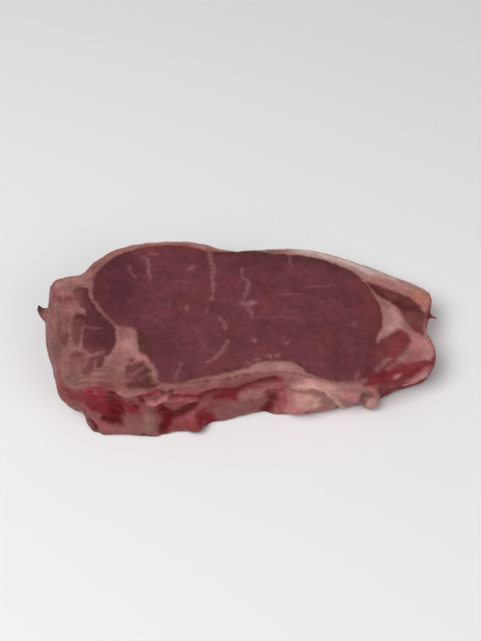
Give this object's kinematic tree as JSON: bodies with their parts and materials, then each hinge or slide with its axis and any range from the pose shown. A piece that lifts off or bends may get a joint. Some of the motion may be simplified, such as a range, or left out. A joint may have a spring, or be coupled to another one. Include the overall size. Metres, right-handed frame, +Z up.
{
  "type": "raw veal loin chop",
  "caption": "Thick slice of raw veal loin without its bone: a dark rose eye muscle, a fat edge, silverskin and a rough boned side, lying flat.",
  "frame": {"origin": "middle of the chop's box, on the flat cut face that it rests on", "axes": "+X along the chop from the chine end to the tail, +Y towards the back fat, +Z up out of the cut face"},
  "size_m": [0.1517, 0.077, 0.0238],
  "materials": {
    "flesh": "raw veal, moist: dull rose-brown lean with a fine grain, pale pink fat and silverskin, wet red where it was boned"
  },
  "bodies": {
    "root": {"chop": "flesh"}
  },
  "joints": []
}
